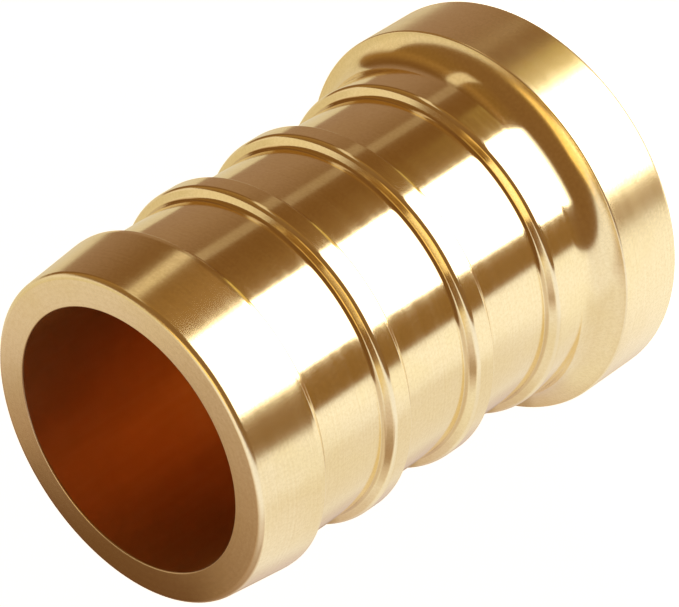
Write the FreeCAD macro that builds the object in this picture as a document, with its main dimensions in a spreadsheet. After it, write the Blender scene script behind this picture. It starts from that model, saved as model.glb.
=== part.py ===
"""Barbed end plug for 3/4 inch flexible tube, turned from one piece of brass.

The plug stands on the flat end of its hub, which lies on the XY plane. The tube pushes down over
the tip along the Z axis, past the tip's lead-in cone and three rings, to the flare under the hub.
"""

import FreeCAD, Part
import math
import os
import Sketcher

NODE = "plug_body"

# The driving dimensions, in millimetres apart from the ring count and the drill angle.
SIZES = {
    "overall_length": 26.5,  # flat end of the hub to the face of the tip
    "bore_radius": 6.55,
    "bore_depth": 20.5,  # from the tip's face to the start of the drill point
    "drill_angle": 118,  # included angle of the drill point, in degrees
    "neck_radius": 8.0,  # the body between the rings
    "crest_radius": 8.55,  # the top of the rings, which carries the tube
    "tip_front_radius": 8.15,  # the lead-in cone where it meets the tip's face
    "tip_length": 3.65,  # the tip's face to the back of its barb
    "tip_land": 0.2,  # straight stretch at the back of the lead-in cone
    "ring_count": 3,
    "ring_pitch": 5.6,
    "ring_land": 1.0,  # straight stretch on top of each ring
    "ring_ramp": 0.25,  # length of a ring's steep front, which faces the tip
    "hub_radius": 9.85,
    "hub_height": 3.75,
    "flare_rise": 0.35,  # height of the shallow cone from the hub's lip to the last ring's land
    "flare_radius": 1.65,  # concave curve between that cone and the last ring's land
    "hub_lip_radius": 0.1,
    "hub_rim_radius": 0.3,
    "tip_rim_radius": 0.3,
    "bore_rim_radius": 0.08,
    "ring_edge_radius": 0.27,  # front foot and front crest of the rings
    "barb_back_radius": 0.08,  # back crest of the tip and the rings
}

EDGE_TOLERANCE = 0.01  # how far an edge may lie from the place it is looked for, in millimetres
VOLUME_TOLERANCE = 0.01  # how far the bore's volume may be from its formula, as a fraction


class Size:
    """A length with its value and the sheet expression that drives it."""

    def __init__(self, value, expression):
        self.value = value
        self.expression = expression

    def __add__(self, other):
        return Size(self.value + other.value, f"{self.expression} + {other.expression}")

    def __sub__(self, other):
        return Size(self.value - other.value, f"{self.expression} - ({other.expression})")

    def __mul__(self, other):
        return Size(self.value * other.value, f"({self.expression}) * ({other.expression})")


GROUND = Size(0.0, "0")


def size(alias):
    return Size(float(SIZES[alias]), f"Sizes.{alias}")


def make_sheet(doc):
    sheet = doc.addObject("Spreadsheet::Sheet", "Sizes")
    for row, (alias, value) in enumerate(SIZES.items(), start=1):
        sheet.set(f"A{row}", str(value))
        sheet.setAlias(f"A{row}", alias)
    doc.recompute()


def origin_feature(body, role):
    return next(feature for feature in body.Origin.OriginFeatures if feature.Role == role)


def new_sketch(body, name, plane):
    sketch = body.newObject("Sketcher::SketchObject", name)
    sketch.AttachmentSupport = [(origin_feature(body, plane), "")]
    sketch.MapMode = "FlatFace"
    return sketch


def drive(sketch, constraint, length):
    """Adds a dimension to the sketch and binds it to the sheet."""
    index = sketch.addConstraint(constraint)
    sketch.setExpression(f"Constraints[{index}]", length.expression)


def circle_sketch(body, name, radius):
    """A circle about the Z axis, drawn on the XY plane."""
    sketch = new_sketch(body, name, "XY_Plane")
    circle = sketch.addGeometry(Part.Circle(FreeCAD.Vector(), FreeCAD.Vector(0, 0, 1), radius.value))
    sketch.addConstraint(Sketcher.Constraint("Coincident", circle, 3, -1, 1))
    drive(sketch, Sketcher.Constraint("Radius", circle, radius.value), radius)
    return sketch


def add_disc(body, name, radius, height):
    """Pads a full disc of the given radius up from the XY plane."""
    pad = body.newObject("PartDesign::Pad", name)
    pad.Profile = (circle_sketch(body, f"{name}_outline", radius), [""])
    pad.setExpression("Length", height.expression)


def add_turned(body, name, corners):
    """Revolves a closed outline of (radius, height) corners about the Z axis."""
    sketch = new_sketch(body, f"{name}_outline", "XZ_Plane")
    points = [FreeCAD.Vector(radius.value, height.value, 0) for radius, height in corners]
    count = len(points)
    for index in range(count):
        sketch.addGeometry(Part.LineSegment(points[index], points[(index + 1) % count]))
    for index, (radius, height) in enumerate(corners):
        sketch.addConstraint(Sketcher.Constraint("Coincident", (index - 1) % count, 2, index, 1))
        drive(sketch, Sketcher.Constraint("DistanceX", -1, 1, index, 1, radius.value), radius)
        drive(sketch, Sketcher.Constraint("DistanceY", -1, 1, index, 1, height.value), height)
    turned = body.newObject("PartDesign::Revolution", name)
    turned.Profile = (sketch, [""])
    turned.ReferenceAxis = (sketch, ["V_Axis"])
    turned.Angle = 360
    return turned


def add_hub(body):
    """The hub, whose top slopes up from its lip to the last ring's land."""
    core = size("bore_radius")
    hub = size("hub_radius")
    lip = size("hub_height")
    flare_top = lip + size("flare_rise")
    outside = [(hub, GROUND), (hub, lip), (size("crest_radius"), flare_top)]
    add_turned(body, "hub", [(core, GROUND)] + outside + [(core, flare_top)])


def barb_corners(front, back, ramp_end):
    """Outline of a barb, from a 45 degree slope at its back up to ramp_end, the end of its front."""
    core = size("bore_radius")
    neck = size("neck_radius")
    crest = size("crest_radius")
    foot = back - (crest - neck)
    return [(core, foot), (neck, foot), (crest, back), (crest, front), ramp_end, (core, ramp_end[1])]


def add_barbs(body):
    """The tip's barb with its lead-in cone, and the row of rings behind it."""
    top = size("overall_length")
    tip_back = top - size("tip_length")
    tip_front = (size("tip_front_radius"), top)
    add_turned(body, "tip_barb", barb_corners(tip_back + size("tip_land"), tip_back, tip_front))
    ring_back = tip_back - size("ring_pitch")
    ring_front = ring_back + size("ring_land")
    ring_foot = (size("neck_radius"), ring_front + size("ring_ramp"))
    ring = add_turned(body, "ring", barb_corners(ring_front, ring_back, ring_foot))
    rings = body.newObject("PartDesign::LinearPattern", "rings")
    rings.Originals = [ring]
    rings.Direction = (origin_feature(body, "Z_Axis"), [""])
    rings.Reversed = True
    rings.Mode = "Spacing"
    rings.setExpression("Offset", "Sizes.ring_pitch")
    rings.setExpression("Occurrences", "Sizes.ring_count")
    body.Tip = rings


def cut_bore(doc, body):
    """A drilled blind bore, open at the tip, with the drill's point at its floor."""
    radius = size("bore_radius")
    sketch = circle_sketch(body, "bore_outline", radius)
    sketch.setExpression(".AttachmentOffset.Base.z", "Sizes.overall_length")
    doc.recompute()
    solid_volume = body.Shape.Volume
    hole = body.newObject("PartDesign::Hole", "bore")
    hole.Profile = (sketch, [""])
    hole.ThreadType = "None"
    hole.HoleCutType = "None"
    hole.DepthType = "Dimension"
    hole.DrillPoint = "Angled"
    hole.DrillForDepth = False
    hole.setExpression("Diameter", "2 * Sizes.bore_radius")
    hole.setExpression("Depth", "Sizes.bore_depth")
    hole.setExpression("DrillPointAngle", "Sizes.drill_angle")
    doc.recompute()
    point_height = radius.value / math.tan(math.radians(SIZES["drill_angle"] / 2))
    expected = math.pi * radius.value**2 * (SIZES["bore_depth"] + point_height / 3)
    removed = solid_volume - body.Shape.Volume
    if abs(removed - expected) > VOLUME_TOLERANCE * expected:
        raise RuntimeError(f"bore removed {removed:.1f} of {expected:.1f} mm3")


def circle_edges(shape, places):
    """Names of the shape's circular edges at the given (radius, height) places."""
    names = []
    for radius, height in places:
        found = [
            f"Edge{index}"
            for index, edge in enumerate(shape.Edges, start=1)
            if isinstance(edge.Curve, Part.Circle)
            and abs(edge.Curve.Radius - radius.value) < EDGE_TOLERANCE
            and abs(edge.Curve.Center.z - height.value) < EDGE_TOLERANCE
        ]
        if not found:
            raise RuntimeError(f"no edge at radius {radius.value:.2f}, height {height.value:.2f}")
        names += found
    return names


def round_edges(doc, body, name, alias, places):
    """Fillets the circular edges at the given places with the radius named in the sheet."""
    doc.recompute()
    base = body.Tip
    fillet = body.newObject("PartDesign::Fillet", name)
    fillet.Base = (base, circle_edges(base.Shape, places))
    fillet.setExpression("Radius", f"Sizes.{alias}")


def round_all(doc, body):
    top = size("overall_length")
    neck = size("neck_radius")
    crest = size("crest_radius")
    hub = size("hub_radius")
    tip_back = top - size("tip_length")
    turns = range(1, SIZES["ring_count"] + 1)
    ring_backs = [tip_back - size("ring_pitch") * Size(float(turn), str(turn)) for turn in turns]
    ring_fronts = [back + size("ring_land") for back in ring_backs]
    ring_feet = [front + size("ring_ramp") for front in ring_fronts]
    round_edges(doc, body, "flare", "flare_radius", [(crest, size("hub_height") + size("flare_rise"))])
    round_edges(doc, body, "ring_feet", "ring_edge_radius", [(neck, foot) for foot in ring_feet])
    round_edges(doc, body, "ring_fronts", "ring_edge_radius", [(crest, front) for front in ring_fronts])
    open_backs = [tip_back] + ring_backs[:-1]
    round_edges(doc, body, "barb_backs", "barb_back_radius", [(crest, back) for back in open_backs])
    round_edges(doc, body, "hub_lip", "hub_lip_radius", [(hub, size("hub_height"))])
    round_edges(doc, body, "hub_rim", "hub_rim_radius", [(hub, GROUND)])
    round_edges(doc, body, "tip_rim", "tip_rim_radius", [(size("tip_front_radius"), top)])
    round_edges(doc, body, "bore_rim", "bore_rim_radius", [(size("bore_radius"), top)])


def make_plug(doc):
    body = doc.addObject("PartDesign::Body", NODE)
    body.Label = NODE
    body.Placement = FreeCAD.Placement()
    last_ring_back = size("overall_length") - size("tip_length") - size("ring_pitch") * size("ring_count")
    half_land = size("ring_land") * Size(0.5, "0.5")
    add_disc(body, "neck", size("neck_radius"), size("overall_length"))
    add_disc(body, "shoulder", size("crest_radius"), last_ring_back + half_land)
    add_hub(body)
    add_barbs(body)
    cut_bore(doc, body)
    round_all(doc, body)
    return body


def check(doc, body):
    """Stops before anything is written if an object failed or the body isn't one valid solid."""
    failed = [item.Name for item in doc.Objects if {"Invalid", "Error"} & set(item.State)]
    if failed:
        raise RuntimeError(f"failed objects: {failed}")
    if body.Shape.isNull() or not body.Shape.isValid() or len(body.Shape.Solids) != 1:
        raise RuntimeError(f"{body.Label} is not one valid solid")


def main():
    doc = FreeCAD.newDocument("barbed_plug")
    make_sheet(doc)
    body = make_plug(doc)
    doc.recompute()
    check(doc, body)
    os.makedirs("parts", exist_ok=True)
    body.Shape.exportStep(f"parts/{body.Label}.step")
    box = body.Shape.optimalBoundingBox()
    print(f"{body.Label}: {box.XLength:.2f} x {box.YLength:.2f} x {box.ZLength:.2f} mm,"
          f" {body.Shape.Volume:.1f} mm3, {len(body.Shape.Faces)} faces")


main()
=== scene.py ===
"""A brass barbed end plug, standing on its hub on a pale floor in a soft studio."""

import math

import bpy
from mathutils import Matrix, Vector


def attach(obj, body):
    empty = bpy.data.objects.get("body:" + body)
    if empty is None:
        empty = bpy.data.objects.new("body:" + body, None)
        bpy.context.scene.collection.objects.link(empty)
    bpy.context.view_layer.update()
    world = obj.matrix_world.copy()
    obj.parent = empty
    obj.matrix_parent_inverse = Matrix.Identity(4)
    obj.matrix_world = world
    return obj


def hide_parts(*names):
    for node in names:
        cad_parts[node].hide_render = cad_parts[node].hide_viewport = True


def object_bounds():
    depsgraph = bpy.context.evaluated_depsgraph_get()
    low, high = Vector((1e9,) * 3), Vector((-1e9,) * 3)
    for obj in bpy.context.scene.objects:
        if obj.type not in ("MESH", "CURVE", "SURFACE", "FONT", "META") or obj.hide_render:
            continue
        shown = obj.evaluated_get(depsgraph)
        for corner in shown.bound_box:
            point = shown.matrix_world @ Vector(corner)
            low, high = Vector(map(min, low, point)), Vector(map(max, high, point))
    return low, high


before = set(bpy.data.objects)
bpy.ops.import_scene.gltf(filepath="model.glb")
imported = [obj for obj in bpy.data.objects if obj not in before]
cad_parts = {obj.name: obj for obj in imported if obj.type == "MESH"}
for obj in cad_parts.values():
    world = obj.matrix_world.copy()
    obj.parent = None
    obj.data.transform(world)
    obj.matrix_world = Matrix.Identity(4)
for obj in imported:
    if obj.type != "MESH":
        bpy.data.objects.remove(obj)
cad_low, cad_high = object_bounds()
scene = bpy.context.scene

MM = 0.001

# The plug's sizes in millimetres: the outer ones come from the frame.
TOP = cad_high.z / MM
HUB = cad_high.x / MM
BORE = 6.55
BORE_DEPTH = 20.5
DRILL_ANGLE = 118
NECK = 8.0
CREST = 8.55
TIP_FRONT = 8.15
TIP_LENGTH = 3.65
TIP_LAND = 0.2
RING_COUNT = 3
RING_PITCH = 5.6
RING_LAND = 1.0
RING_RAMP = 0.25
HUB_HEIGHT = 3.75
FLARE_RISE = 0.35
FLARE_ROUNDING = 1.65
HUB_LIP_ROUNDING = 0.1
HUB_RIM_ROUNDING = 0.3
TIP_RIM_ROUNDING = 0.3
BORE_RIM_ROUNDING = 0.08
CONE_ROUNDING = 1.0
RING_ROUNDING = 0.27
BACK_ROUNDING = 0.08
DRILL_ROUNDING = 0.3
SHARP_ROUNDING = 0.4

SEGMENTS = 300
ARC_STEP = math.radians(7)
EDGE_MARGIN = 0.1
LONGEST_STEP = 0.6

# The camera: what it looks at, from which side, and how far it is turned about its own axis.
LENS_MM = 208.4
SENSOR_MM = 36.0
CAMERA_AIM = Vector((0, 0, 12.58 * MM))
CAMERA_DISTANCE = 181.1 * MM
VIEW_AZIMUTH = -42.70
VIEW_ELEVATION = 36.70
VIEW_ROLL = 122.93


def studio_camera():
    data = bpy.data.cameras.new("camera")
    data.lens = LENS_MM
    data.sensor_width = SENSOR_MM
    data.clip_start = 0.01
    data.clip_end = 10.0
    camera = bpy.data.objects.new("camera", data)
    scene.collection.objects.link(camera)
    azimuth, elevation = math.radians(VIEW_AZIMUTH), math.radians(VIEW_ELEVATION)
    back = Vector(
        (
            math.sin(azimuth) * math.cos(elevation),
            -math.cos(azimuth) * math.cos(elevation),
            math.sin(elevation),
        )
    )
    level = (-back).to_track_quat("-Z", "Y")
    camera.rotation_mode = "QUATERNION"
    camera.rotation_quaternion = level @ Matrix.Rotation(math.radians(-VIEW_ROLL), 3, "Z").to_quaternion()
    camera.location = CAMERA_AIM + back * CAMERA_DISTANCE
    scene.camera = camera


# ---- the outline of the plug ----


def outline_corners():
    """(radius, height, rounding) of each corner, from the hub's end up the outside and into the bore."""
    corners = [
        (0, 0, 0),
        (HUB, 0, HUB_RIM_ROUNDING),
        (HUB, HUB_HEIGHT, HUB_LIP_ROUNDING),
        (CREST, HUB_HEIGHT + FLARE_RISE, FLARE_ROUNDING),
    ]
    tip_back = TOP - TIP_LENGTH
    for turn in range(RING_COUNT, 0, -1):
        ring_front = tip_back - turn * RING_PITCH + RING_LAND
        next_back = tip_back - (turn - 1) * RING_PITCH
        corners += [
            (CREST, ring_front, RING_ROUNDING),
            (NECK, ring_front + RING_RAMP, RING_ROUNDING),
            (NECK, next_back - (CREST - NECK), BACK_ROUNDING),
            (CREST, next_back, BACK_ROUNDING),
        ]
    drill_point = BORE / math.tan(math.radians(DRILL_ANGLE / 2))
    corners += [
        (CREST, tip_back + TIP_LAND, CONE_ROUNDING),
        (TIP_FRONT, TOP, TIP_RIM_ROUNDING),
        (BORE, TOP, BORE_RIM_ROUNDING),
        (BORE, TOP - BORE_DEPTH, DRILL_ROUNDING),
        (0, TOP - BORE_DEPTH - drill_point, 0),
    ]
    return corners


def rounded_outline(corners):
    """(point, normal, edge) along the outline; edge is 1 on outer roundings and -1 on inner ones."""
    places = [Vector(corner[:2]) for corner in corners]
    outline = [(places[0], Vector((0, -1)), 0.0)]
    for index in range(1, len(corners)):
        along = (places[index] - places[index - 1]).normalized()
        start = outline[-1][0]
        normal = Vector((along.y, -along.x))
        if index < len(corners) - 1:
            onward = (places[index + 1] - places[index]).normalized()
            turn = math.atan2(along.cross(onward), along.dot(onward))
            reach = corners[index][2] * math.tan(abs(turn) / 2)
        else:
            turn, reach = 0.0, 0.0
        end = places[index] - along * reach
        outline += straight_points(start, end, normal)
        if turn:
            side = math.copysign(1, turn)
            centre = end - normal * side * corners[index][2]
            steps = max(4, math.ceil(abs(turn) / ARC_STEP))
            for step in range(steps + 1):
                angle = math.atan2(normal.y, normal.x) + turn * step / steps
                out = Vector((math.cos(angle), math.sin(angle)))
                edge = side * math.sin(math.pi * step / steps) * min(1, SHARP_ROUNDING / corners[index][2])
                outline.append((centre + out * side * corners[index][2], out, edge))
    outline.append((places[-1], normal, 0.0))
    return outline


def straight_points(start, end, normal):
    """Points between start and end, with one close to each end to keep the roundings' marks local."""
    length = (end - start).length
    if length < 3 * EDGE_MARGIN:
        return []
    count = max(1, math.ceil((length - 2 * EDGE_MARGIN) / LONGEST_STEP))
    inner = length - 2 * EDGE_MARGIN
    stops = [EDGE_MARGIN + inner * step / count for step in range(count + 1)]
    return [(start.lerp(end, stop / length), normal, 0.0) for stop in stops]


def turned_mesh(name, outline):
    """Spins the outline about the Z axis. Its first and last points lie on the axis."""
    rings = outline[1:-1]
    verts = []
    normals = []
    edges = []
    for point, normal, edge in rings:
        for step in range(SEGMENTS):
            angle = 2 * math.pi * step / SEGMENTS
            cos, sin = math.cos(angle), math.sin(angle)
            verts.append((point.x * cos * MM, point.x * sin * MM, point.y * MM))
            normals.append((normal.x * cos, normal.x * sin, normal.y))
            edges.append(edge)
    faces = []
    for ring in range(len(rings) - 1):
        for step in range(SEGMENTS):
            a = ring * SEGMENTS + step
            b = ring * SEGMENTS + (step + 1) % SEGMENTS
            faces.append((a, b, b + SEGMENTS, a + SEGMENTS))
    for point, ring, flip in ((outline[0][0], 0, True), (outline[-1][0], len(rings) - 1, False)):
        pole = len(verts)
        verts.append((0, 0, point.y * MM))
        normals.append((0, 0, -1 if flip else 1))
        edges.append(0.0)
        for step in range(SEGMENTS):
            a = ring * SEGMENTS + step
            b = ring * SEGMENTS + (step + 1) % SEGMENTS
            faces.append((b, a, pole) if flip else (a, b, pole))
    mesh = bpy.data.meshes.new(name)
    mesh.from_pydata(verts, [], faces)
    mesh.attributes.new("edge", "FLOAT", "POINT").data.foreach_set("value", edges)
    mesh.shade_smooth()
    mesh.normals_split_custom_set_from_vertices(normals)
    return mesh


# ---- materials ----


class Nodes:
    """Short calls for building a node tree."""

    def __init__(self, owner):
        owner.use_nodes = True
        self.tree = owner.node_tree
        self.shader = self.tree.nodes.get("Principled BSDF")
        self.places = self.tree.nodes.new("ShaderNodeTexCoord")
        self.place = self.places.outputs["Object"]
        x, y, self.height = self.axes(self.place)
        square = self.math("ADD", self.math("MULTIPLY", x, x), self.math("MULTIPLY", y, y))
        self.radius = self.math("SQRT", square)

    def link(self, source, target):
        self.tree.links.new(source, target)

    def axes(self, vector):
        node = self.tree.nodes.new("ShaderNodeSeparateXYZ")
        self.link(vector, node.inputs[0])
        return node.outputs["X"], node.outputs["Y"], node.outputs["Z"]

    def put(self, value, socket):
        if isinstance(value, bpy.types.NodeSocket):
            self.link(value, socket)
        else:
            socket.default_value = value

    def math(self, operation, first, second=0.0):
        node = self.tree.nodes.new("ShaderNodeMath")
        node.operation = operation
        self.put(first, node.inputs[0])
        self.put(second, node.inputs[1])
        return node.outputs[0]

    def span(self, value, low, high, to_low=0.0, to_high=1.0):
        """Maps value from low..high to to_low..to_high, with soft ends."""
        node = self.tree.nodes.new("ShaderNodeMapRange")
        node.interpolation_type = "SMOOTHSTEP"
        self.put(value, node.inputs["Value"])
        for name, number in zip(("From Min", "From Max", "To Min", "To Max"), (low, high, to_low, to_high)):
            self.put(number, node.inputs[name])
        return node.outputs["Result"]

    def noise(self, vector, scale, detail=2.0, roughness=0.5):
        node = self.tree.nodes.new("ShaderNodeTexNoise")
        self.put(vector, node.inputs["Vector"])
        node.inputs["Scale"].default_value = scale
        node.inputs["Detail"].default_value = detail
        node.inputs["Roughness"].default_value = roughness
        return node.outputs["Fac"]

    def vector(self, x, y, z):
        node = self.tree.nodes.new("ShaderNodeCombineXYZ")
        for value, socket in zip((x, y, z), node.inputs):
            self.put(value, socket)
        return node.outputs[0]

    def mix(self, factor, first, second):
        node = self.tree.nodes.new("ShaderNodeMix")
        node.data_type = "RGBA"
        self.put(factor, node.inputs["Factor"])
        self.put(first, node.inputs["A"])
        self.put(second, node.inputs["B"])
        return node.outputs["Result"]

    def ramp(self, value, stops):
        """Colour along value, from a list of (value, colour) in order, eased between them."""
        node = self.tree.nodes.new("ShaderNodeValToRGB")
        node.color_ramp.interpolation = "EASE"
        elements = node.color_ramp.elements
        while len(elements) < len(stops):
            elements.new(1.0)
        for element, (position, colour) in zip(elements, stops):
            element.position = position
            element.color = (*colour, 1)
        self.put(value, node.inputs["Fac"])
        return node.outputs["Color"]

    def attribute(self, name):
        node = self.tree.nodes.new("ShaderNodeAttribute")
        node.attribute_name = name
        return node.outputs["Fac"]

    def bump(self, height, distance, normal=None):
        node = self.tree.nodes.new("ShaderNodeBump")
        node.inputs["Distance"].default_value = distance
        self.put(height, node.inputs["Height"])
        if normal is not None:
            self.link(normal, node.inputs["Normal"])
        return node.outputs["Normal"]

    def lamp(self, colour, strength=1.0):
        node = self.tree.nodes.new("ShaderNodeEmission")
        self.put(colour, node.inputs["Color"])
        node.inputs["Strength"].default_value = strength
        return node.outputs[0]

    def surface(self, shader):
        self.link(shader, self.tree.nodes["Material Output"].inputs["Surface"])


def turned_brass():
    """Polished brass with fine turning marks, duller on the hub, with painted shade darkening its inner
    corners.
    """
    material = bpy.data.materials.new("turned_brass")
    nodes = Nodes(material)
    shader = nodes.shader
    shader.inputs["Metallic"].default_value = 1.0
    along = nodes.math("ADD", nodes.height, nodes.math("MULTIPLY", nodes.radius, 0.7))
    marks = nodes.vector(0.0, 0.0, along)
    fine = nodes.noise(marks, 9000, 2.0, 0.6)
    coarse = nodes.noise(marks, 1500, 3.0, 0.6)
    cloud = nodes.noise(nodes.place, 260, 3.0, 0.6)
    grain = nodes.noise(nodes.place, 7000, 2.0, 0.5)
    edge = nodes.attribute("edge")
    clean = nodes.mix(nodes.span(cloud, 0.35, 0.65), (0.92, 0.765, 0.42, 1), (0.94, 0.79, 0.47, 1))
    speckled = nodes.mix(nodes.span(grain, 0.35, 0.7, 0.0, 0.22), clean, (0.70, 0.52, 0.24, 1))
    lined = nodes.mix(nodes.span(fine, 0.3, 0.8, 0.0, 0.35), speckled, (0.80, 0.60, 0.30, 1))
    # Painted shade: a darker brown laid on the inner roundings.
    corner_shaded = nodes.mix(nodes.span(edge, -0.1, -1.0, 0.0, 0.55), lined, (0.55, 0.33, 0.12, 1))
    # A paler base colour on the outer roundings.
    paler_on_outer_roundings = nodes.mix(nodes.span(edge, 0.2, 1.0, 0.0, 0.5), corner_shaded, (0.98, 0.87, 0.60, 1))
    nodes.link(paler_on_outer_roundings, shader.inputs["Base Color"])
    hub = nodes.span(nodes.height, 4.2 * MM, 3.7 * MM, 0.0, 0.13)
    face = nodes.span(nodes.height, (TOP - 0.2) * MM, (TOP - 0.02) * MM, 0.0, 0.06)
    tip = nodes.span(nodes.height, 22.8 * MM, 23.2 * MM, 0.0, 0.06)
    polish = nodes.math("ADD", nodes.math("ADD", nodes.math("ADD", hub, face), tip), 0.12)
    rough = nodes.math("ADD", polish, nodes.span(coarse, 0.35, 0.75, -0.01, 0.03))
    nodes.link(rough, shader.inputs["Roughness"])
    lines = nodes.math("ADD", nodes.math("MULTIPLY", fine, 0.5), nodes.math("MULTIPLY", coarse, 0.5))
    first = nodes.bump(lines, 0.0000005)
    nodes.link(nodes.bump(grain, 0.00000035, first), shader.inputs["Normal"])
    return material


def drilled_brass():
    """The bore: left as drilled, dull and browned, with faint streaks along it, and painted shade darkening
    its rim.
    """
    material = bpy.data.materials.new("drilled_brass")
    nodes = Nodes(material)
    shader = nodes.shader
    shader.inputs["Metallic"].default_value = 0.92
    flat = nodes.tree.nodes.new("ShaderNodeVectorMath")
    flat.operation = "MULTIPLY"
    nodes.link(nodes.place, flat.inputs[0])
    flat.inputs[1].default_value = (1, 1, 0.08)
    streak = nodes.noise(flat.outputs[0], 700, 3.0, 0.6)
    cloud = nodes.noise(nodes.place, 260, 3.0, 0.6)
    grain = nodes.noise(nodes.place, 5000, 2.0, 0.5)
    stained = nodes.mix(nodes.span(cloud, 0.35, 0.65), (0.885, 0.525, 0.22, 1), (0.915, 0.56, 0.26, 1))
    colour = nodes.mix(nodes.span(streak, 0.4, 0.7, 0.0, 0.5), stained, (0.85, 0.445, 0.16, 1))
    # Painted shade: the top of the bore, its rim, is darkened.
    rim_shade_mask = nodes.span(nodes.height, (TOP - 0.12) * MM, (TOP - 0.04) * MM)
    shaded_rim_colour = nodes.mix(rim_shade_mask, colour, (0.50, 0.33, 0.17, 1))
    nodes.link(shaded_rim_colour, shader.inputs["Base Color"])
    nodes.link(nodes.span(streak, 0.3, 0.7, 0.28, 0.36), shader.inputs["Roughness"])
    nodes.link(nodes.bump(grain, 0.000002), shader.inputs["Normal"])
    return material


def make_plug():
    mesh = turned_mesh("plug", rounded_outline(outline_corners()))
    plug = bpy.data.objects.new("plug", mesh)
    scene.collection.objects.link(plug)
    mesh.materials.append(turned_brass())
    mesh.materials.append(drilled_brass())
    # The bore's rim rounding also takes the drilled brass, whose painted shade darkens it.
    bore_top = (TOP - 0.01) * MM
    bore_wall = (BORE + BORE_RIM_ROUNDING) * MM
    for polygon in mesh.polygons:
        middle = polygon.center
        if middle.z < bore_top and middle.xy.length < bore_wall and polygon.normal.xy.dot(middle.xy) < 0:
            polygon.material_index = 1
    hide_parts("plug_body")
    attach(plug, "root")


# ---- the studio ----

# The part's shade on the table, in millimetres: across it, and along the part to the shade's two ends.
SHADE_MIDDLE = 5
SHADE_HALF_WIDTH = 5
SHADE_END = 24
SHADE_TIP = 27
SHADE_COLOURS = [
    (0.04, (0.15, 0.07, 0.032)),
    (0.115, (0.33, 0.21, 0.135)),
    (0.2, (0.44, 0.30, 0.215)),
    (0.31, (0.50, 0.38, 0.30)),
    (0.37, (0.70, 0.58, 0.53)),
    (0.5, (0.76, 0.66, 0.62)),
    (0.8, (1, 1, 1)),
]
FAR_TABLE = (0.30, 0.17, 0.06, 1)

# Browns round the part, along a slanted line through the sky from its upper left to its lower right.
SLANT = 1.86
LEVEL_BELOW = 0.595
SKY_COLOURS = [
    (0.25, (0.24, 0.125, 0.045)),
    (0.525, (0.265, 0.14, 0.04)),
    (0.64, (0.335, 0.182, 0.055)),
    (0.825, (0.205, 0.098, 0.03)),
    (0.965, (0.38, 0.245, 0.165)),
]


def card(name, corners, material):
    """A flat sheet that only lights the part: the camera looks through it."""
    mesh = bpy.data.meshes.new(name)
    mesh.from_pydata([Vector(corner) for corner in corners], [], [range(len(corners))])
    piece = bpy.data.objects.new(name, mesh)
    scene.collection.objects.link(piece)
    mesh.materials.append(material)
    piece.visible_camera = False
    piece.visible_shadow = False
    return piece


def upright_card(name, distance, facing, corners, material):
    """A card parallel to the part's axis, at a right angle to the azimuth facing.

    Each corner is (azimuth, height). Azimuths turn from +X towards +Y.
    """
    out = Vector((math.cos(math.radians(facing)), math.sin(math.radians(facing)), 0))
    aside = Vector((-out.y, out.x, 0))
    places = []
    for azimuth, height in corners:
        across = out + aside * math.tan(math.radians(azimuth - facing))
        places.append(across * distance + Vector((0, 0, height)))
    return card(name, places, material)


def glow(name, radiance, fades=()):
    """Light that changes along the height: each fade is (height, level, height, level)."""
    material = bpy.data.materials.new(name)
    nodes = Nodes(material)
    strength = max(radiance)
    colour = [value / strength for value in radiance]
    level = 1.0
    for low, low_level, high, high_level in fades:
        level = nodes.math("MULTIPLY", nodes.span(nodes.height, low, high, low_level, high_level), level)
    see_through(nodes, level, nodes.lamp((*colour, 1), strength))
    return material


def see_through(nodes, solid, shader):
    """Shows shader where solid is 1, and nothing where it is 0."""
    clear = nodes.tree.nodes.new("ShaderNodeBsdfTransparent")
    choice = nodes.tree.nodes.new("ShaderNodeMixShader")
    nodes.put(solid, choice.inputs[0])
    nodes.link(clear.outputs[0], choice.inputs[1])
    nodes.link(shader, choice.inputs[2])
    nodes.surface(choice.outputs[0])


def table_light():
    """A white table seen in the brass, with the part's own shade under it and before its tip.

    Here x runs across the table and z along the part, both in millimetres.
    """
    material = bpy.data.materials.new("table_light")
    nodes = Nodes(material)
    metres_x, _, metres_z = nodes.axes(nodes.place)
    x = nodes.math("DIVIDE", metres_x, MM)
    z = nodes.math("DIVIDE", metres_z, MM)
    reach = shade_reach(nodes, x, z)
    shade = nodes.ramp(reach, SHADE_COLOURS)
    near = nodes.mix(nodes.span(reach, 0.45, 0.8), shade, open_table(nodes, x, z))
    colour = nodes.mix(nodes.span(x, -100, -290), near, FAR_TABLE)
    nodes.surface(nodes.lamp(colour))
    return material


def shade_reach(nodes, x, z):
    """How far a place lies from the part's shade: 0 inside it, 1 and more in the open."""
    aside = nodes.math("ABSOLUTE", nodes.math("SUBTRACT", x, SHADE_MIDDLE))
    aside = nodes.math("SUBTRACT", aside, SHADE_HALF_WIDTH)
    under = nodes.math("MAXIMUM", aside, nodes.math("SUBTRACT", z, SHADE_END))
    under = nodes.math("MULTIPLY", under, 0.085)
    ahead = nodes.math("SUBTRACT", z, SHADE_TIP)
    ahead = nodes.math("MAXIMUM", ahead, nodes.math("MULTIPLY", ahead, -5))
    beside = nodes.math("MULTIPLY", nodes.math("MAXIMUM", nodes.math("SUBTRACT", aside, 1), 0), 1.2)
    before = nodes.math("MULTIPLY", nodes.math("ADD", ahead, beside), 0.021)
    return nodes.math("MINIMUM", under, before)


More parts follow.
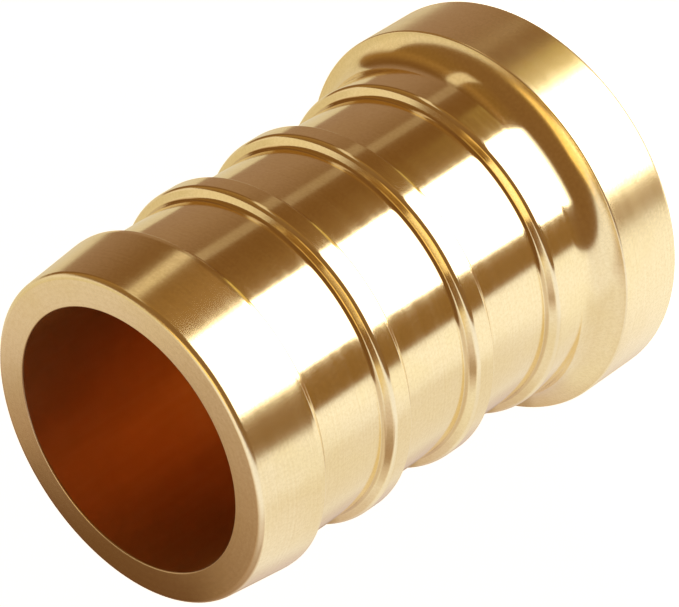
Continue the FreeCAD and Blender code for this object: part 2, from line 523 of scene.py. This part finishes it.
def open_table(nodes, x, z):
    """The lit table: brighter past the hub, with painted shade dimming it beside the flare and making it
    darker and browner to the right.
    """
    left = nodes.mix(nodes.span(z, 10, -15), (1.0, 0.985, 1.03, 1), (1.12, 1.11, 1.14, 1))
    beside_flare = nodes.math("MULTIPLY", nodes.span(z, 26, 16), nodes.span(z, -7, 2))
    beside_flare = nodes.math("MULTIPLY", beside_flare, nodes.span(x, -28, -20))
    dimmed = nodes.mix(beside_flare, left, (0.90, 0.85, 0.83, 1))
    return nodes.mix(nodes.span(x, 6, 26), dimmed, (0.76, 0.66, 0.47, 1))


def floor_paint():
    """Pale, and clear from below so that the underside can be seen."""
    material = bpy.data.materials.new("floor_paint")
    nodes = Nodes(material)
    shader = nodes.shader
    shader.inputs["Base Color"].default_value = (0.9, 0.9, 0.9, 1)
    shader.inputs["Roughness"].default_value = 1.0
    shader.inputs["Specular IOR Level"].default_value = 0.0
    shader.inputs["Emission Color"].default_value = (1, 1, 1, 1)
    shader.inputs["Emission Strength"].default_value = 0.9
    side = nodes.tree.nodes.new("ShaderNodeNewGeometry")
    see_through(nodes, nodes.math("SUBTRACT", 1.0, side.outputs["Backfacing"]), shader.outputs[0])
    return material


def level_corners(half, height):
    """Corners of a level square over the part's foot."""
    return [(-half, -half, height), (half, -half, height), (half, half, height), (-half, half, height)]


def make_floor():
    """The pale floor the camera sees, just clear of the hub's flat end."""
    floor = card("floor", level_corners(3.0, -0.05 * MM), floor_paint())
    floor.visible_camera = True
    floor.visible_glossy = False
    floor.visible_diffuse = False


def make_table():
    """The table reflected along the part's far side, upright because the part stands on its hub."""
    side = cad_high.y
    left, right, half = -0.3, 0.16, 0.4
    corners = [(left, side, half), (right, side, half), (right, side, -half), (left, side, -half)]
    table = card("card_table", corners, table_light())
    table.visible_diffuse = False


def make_softbox():
    """The large white light, with a yellow halo past its lower right edge."""
    facing, distance = 231, 120 * MM
    left = [(205, 0.035), (205.3, -0.075), (201, -0.10), (197.5, -0.13), (197.5, -0.35)]
    right = [(270, -0.35), (265, -0.135), (261, -0.10), (258.5, -0.075), (254.7, -0.023), (252, 0.035)]
    softbox = glow("softbox", (5, 5, 5), [(-0.03, 1, 0.035, 0)])
    upright_card("card_softbox", distance, facing, left + right, softbox)
    edge = [(262, -0.110), (270, -0.123), (280, -0.146), (286, -0.166), (286, -0.30), (262, -0.30)]
    halo = glow("halo", (0.80, 0.64, 0.22))
    upright_card("card_halo", distance - 1 * MM, facing, edge, halo)


def make_small_cards():
    """A narrow strip along the part's upper side, a fill before its tip and a small card above it."""
    strip_fades = [(-0.14, 0, -0.11, 1), (-0.065, 0.27, -0.035, 1), (0.03, 1, 0.06, 0)]
    strip = glow("strip", (0.82, 0.68, 0.49), strip_fades)
    strip_corners = [(287.5, 0.06), (298.5, 0.06), (313.5, -0.14), (307.5, -0.14)]
    upright_card("card_strip", 120 * MM, 301, strip_corners, strip)
    fill = glow("fill", (0.88, 0.77, 0.60), [(0.02, 0, 0.06, 1)])
    fill_corners = [(345, 0.30), (368, 0.30), (368, 0.02), (345, 0.02)]
    upright_card("card_fill", 150 * MM, 356, fill_corners, fill)
    card("card_top", level_corners(0.07, 0.25), glow("top", (1.6, 1.1, 0.38)))


def make_world():
    """Brown surroundings for the part to reflect; the camera sees white past the floor."""
    world = bpy.data.worlds.new("world")
    nodes = Nodes(world)
    x, _, z = nodes.axes(nodes.places.outputs["Generated"])
    lift = nodes.math("MAXIMUM", nodes.math("ADD", z, LEVEL_BELOW), 0)
    across = nodes.math("SUBTRACT", x, nodes.math("MULTIPLY", lift, SLANT))
    browns = nodes.ramp(nodes.math("MULTIPLY", nodes.math("ADD", across, 3), 0.25), SKY_COLOURS)
    rays = nodes.tree.nodes.new("ShaderNodeLightPath")
    colour = nodes.mix(rays.outputs["Is Camera Ray"], browns, (1, 1, 1, 1))
    nodes.link(colour, nodes.tree.nodes["Background"].inputs["Color"])
    scene.world = world
    scene.view_settings.view_transform = "Standard"


studio_camera()
make_plug()
make_floor()
make_table()
make_softbox()
make_small_cards()
make_world()
